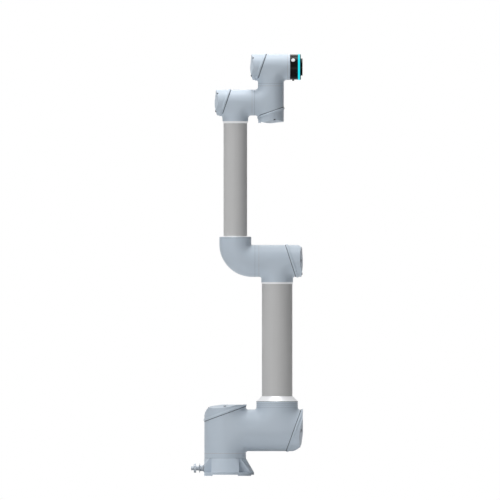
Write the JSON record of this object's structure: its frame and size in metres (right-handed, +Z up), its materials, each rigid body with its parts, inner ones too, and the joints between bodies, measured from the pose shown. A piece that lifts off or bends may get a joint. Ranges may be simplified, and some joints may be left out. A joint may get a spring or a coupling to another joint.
{
  "type": "collaborative welding robot arm",
  "caption": "Upright jointed cobot arm for welding: turning joints with slanted end caps, tubular links, a round bolt-down base, and a lit tool flange with a guide button.",
  "frame": {"origin": "centre of the base's mounting face, on the base joint's axis", "axes": "+Z up along the base joint's axis, +X towards the shoulder and the tool flange, the links lie in the plane y = 0"},
  "size_m": [0.403, 0.208, 1.5211],
  "materials": {
    "paint": "satin light grey-blue paint on cast aluminium",
    "tube_aluminium": "satin grey anodised",
    "collar_aluminium": "bright turned",
    "screw_steel": "zinc plated",
    "gear_steel": "ground",
    "rotor_steel": "ground",
    "winding": "enamelled copper winding on a steel core",
    "circuit_board": "green solder resist",
    "connector_metal": "nickel plated",
    "tool_black": "gloss black",
    "flange_black": "black anodised",
    "light": "cyan light guide",
    "button_plastic": "gloss"
  },
  "bodies": {
    "base": {"base_casting": "paint", "base_connector": "connector_metal", "base_joint_output_flange": "paint"},
    "shoulder": {"base_joint_housing": "paint", "base_joint_cap": "paint", "base_joint_stator": "winding", "base_joint_gear_ring": "gear_steel", "base_joint_drive_board": "circuit_board", "base_cap_screws": "screw_steel", "shoulder_joint_output_flange": "paint"},
    "upper_arm": {"shoulder_joint_housing": "paint", "shoulder_joint_cap": "paint", "shoulder_joint_stator": "winding", "shoulder_joint_gear_ring": "gear_steel", "shoulder_joint_drive_board": "circuit_board", "upper_tube_cone": "collar_aluminium", "upper_tube": "tube_aluminium", "upper_tube_ring": "collar_aluminium", "elbow_joint_housing": "paint", "elbow_joint_cap": "paint", "elbow_joint_stator": "winding", "elbow_joint_gear_ring": "gear_steel", "elbow_joint_drive_board": "circuit_board", "upper_arm_cap_screws": "screw_steel"},
    "forearm": {"elbow_joint_output_flange": "paint", "elbow_pipe": "paint", "forearm_lower_ring": "collar_aluminium", "forearm_tube": "tube_aluminium", "forearm_upper_ring": "collar_aluminium", "wrist_1_housing": "paint", "wrist_1_cap": "paint", "wrist_1_stator": "winding", "wrist_1_gear_ring": "gear_steel", "wrist_1_drive_board": "circuit_board", "wrist_1_cap_screws": "screw_steel"},
    "second_wrist": {"wrist_1_output_flange": "paint", "wrist_2_housing": "paint", "wrist_2_cap": "paint", "wrist_2_stator": "winding", "wrist_2_gear_ring": "gear_steel", "wrist_2_drive_board": "circuit_board", "wrist_2_cap_screws": "screw_steel"},
    "third_wrist": {"wrist_2_output_flange": "paint", "wrist_3_housing": "paint", "wrist_3_cap": "paint", "wrist_3_stator": "winding", "wrist_3_gear_ring": "gear_steel", "wrist_3_drive_board": "circuit_board", "wrist_3_cap_screws": "screw_steel"},
    "tool": {"wrist_3_output_flange": "paint", "tool_body": "tool_black", "light_ring": "light", "tool_flange": "flange_black"},
    "button": {"tool_button": "button_plastic"},
    "base_joint_motor": {"base_joint_rotor": "rotor_steel"},
    "shoulder_joint_motor": {"shoulder_joint_rotor": "rotor_steel"},
    "elbow_joint_motor": {"elbow_joint_rotor": "rotor_steel"},
    "wrist_1_motor": {"wrist_1_rotor": "rotor_steel"},
    "wrist_2_motor": {"wrist_2_rotor": "rotor_steel"},
    "wrist_3_motor": {"wrist_3_rotor": "rotor_steel"}
  },
  "joints": [
    {"name": "base_turn", "type": "hinge", "parent": "base", "child": "shoulder", "pos_m": [0, 0, 0.164], "axis": [0, 0, 1], "range_deg": [-175, 175]},
    {"name": "shoulder_turn", "type": "hinge", "parent": "shoulder", "child": "upper_arm", "pos_m": [0.187, 0, 0.164], "axis": [1, 0, 0], "range_deg": [-135, 135]},
    {"name": "elbow_turn", "type": "hinge", "parent": "upper_arm", "child": "forearm", "pos_m": [0.187, 0, 0.774], "axis": [1, 0, 0], "range_deg": [-155, 155]},
    {"name": "wrist_1_turn", "type": "hinge", "parent": "forearm", "child": "second_wrist", "pos_m": [0.0365, 0, 1.344], "axis": [1, 0, 0], "range_deg": [-175, 175]},
    {"name": "wrist_2_turn", "type": "hinge", "parent": "second_wrist", "child": "third_wrist", "pos_m": [0.1645, 0, 1.344], "axis": [0, 0, 1], "range_deg": [-120, 120]},
    {"name": "wrist_3_turn", "type": "hinge", "parent": "third_wrist", "child": "tool", "pos_m": [0.1645, 0, 1.472], "axis": [1, 0, 0], "range_deg": [-175, 175]},
    {"name": "base_joint_motor_spin", "type": "hinge", "parent": "shoulder", "child": "base_joint_motor", "pos_m": [0, 0, 0.164], "axis": [0, 0, 1], "range_deg": [-17500, 17500]},
    {"name": "shoulder_joint_motor_spin", "type": "hinge", "parent": "upper_arm", "child": "shoulder_joint_motor", "pos_m": [0.187, 0, 0.164], "axis": [1, 0, 0], "range_deg": [-13500, 13500]},
    {"name": "elbow_joint_motor_spin", "type": "hinge", "parent": "upper_arm", "child": "elbow_joint_motor", "pos_m": [0.187, 0, 0.774], "axis": [1, 0, 0], "range_deg": [-15500, 15500]},
    {"name": "wrist_1_motor_spin", "type": "hinge", "parent": "forearm", "child": "wrist_1_motor", "pos_m": [0.0365, 0, 1.344], "axis": [1, 0, 0], "range_deg": [-17500, 17500]},
    {"name": "wrist_2_motor_spin", "type": "hinge", "parent": "second_wrist", "child": "wrist_2_motor", "pos_m": [0.1645, 0, 1.344], "axis": [0, 0, 1], "range_deg": [-12000, 12000]},
    {"name": "wrist_3_motor_spin", "type": "hinge", "parent": "third_wrist", "child": "wrist_3_motor", "pos_m": [0.1645, 0, 1.472], "axis": [1, 0, 0], "range_deg": [-17500, 17500]},
    {"name": "button_press", "type": "slide", "parent": "tool", "child": "button", "axis": [0, 0.8387, -0.5446], "range_m": [0, 0.0015], "stiffness_N_per_m": 800, "springref_m": -0.001}
  ],
  "couplings": [
    {"joint": "base_joint_motor_spin", "follows": "base_turn", "ratio": 100},
    {"joint": "shoulder_joint_motor_spin", "follows": "shoulder_turn", "ratio": 100},
    {"joint": "elbow_joint_motor_spin", "follows": "elbow_turn", "ratio": -100},
    {"joint": "wrist_1_motor_spin", "follows": "wrist_1_turn", "ratio": -100},
    {"joint": "wrist_2_motor_spin", "follows": "wrist_2_turn", "ratio": -100},
    {"joint": "wrist_3_motor_spin", "follows": "wrist_3_turn", "ratio": -100}
  ]
}
